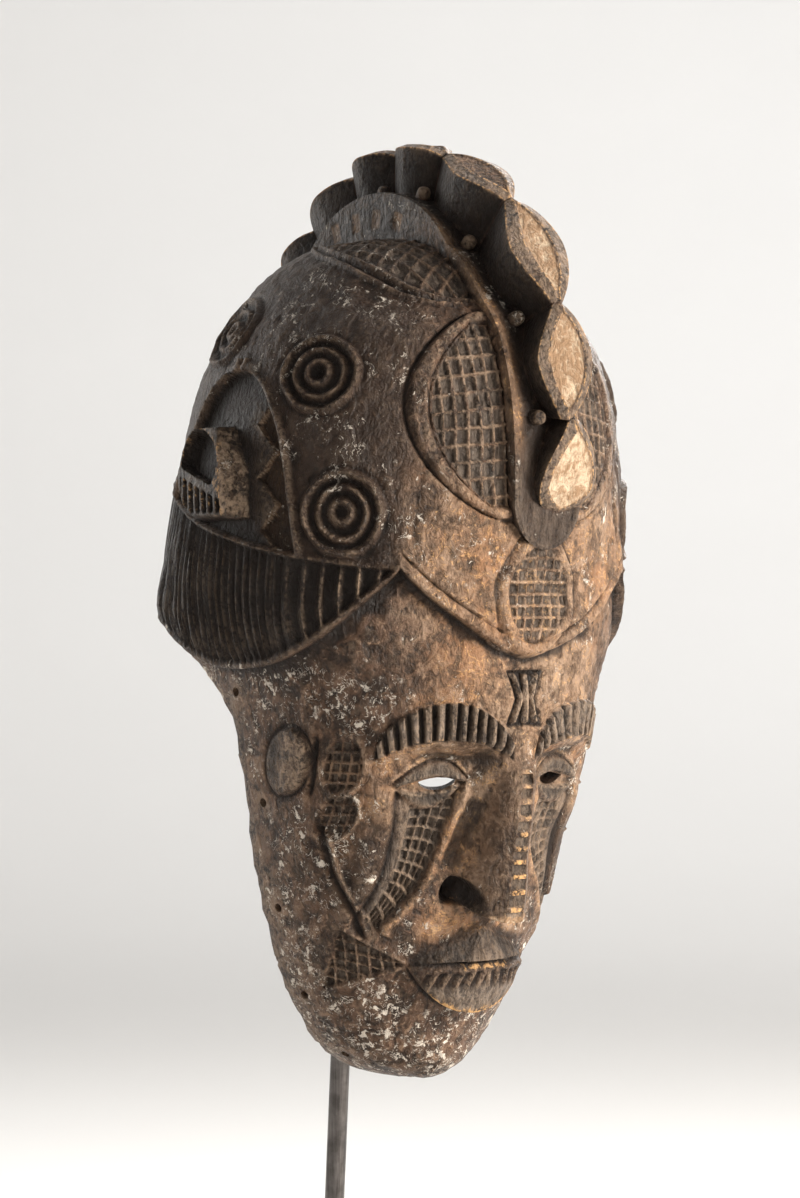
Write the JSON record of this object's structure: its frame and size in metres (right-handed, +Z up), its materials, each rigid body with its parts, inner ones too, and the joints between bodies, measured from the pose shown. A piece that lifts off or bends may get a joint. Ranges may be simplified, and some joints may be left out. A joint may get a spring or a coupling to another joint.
{
  "type": "wooden mask on a stand",
  "caption": "Carved wooden helmet mask with a slit-eyed face, a ringed cap and a lobed crest, open behind and held upright by a steel rod on a flat square foot.",
  "frame": {"origin": "middle of the underside of the foot", "axes": "+Z up, the mask faces -Y, +X towards the mask's own left"},
  "size_m": [0.2358, 0.2528, 0.6321],
  "materials": {
    "wood": "dark patinated wood with pale kaolin specks and worn orange-brown places",
    "rod_steel": "darkened steel with a soft sheen",
    "foot_steel": "matt black painted steel"
  },
  "bodies": {
    "root": {"mask": "wood", "stand_rod": "rod_steel", "stand_foot": "foot_steel"}
  },
  "joints": []
}
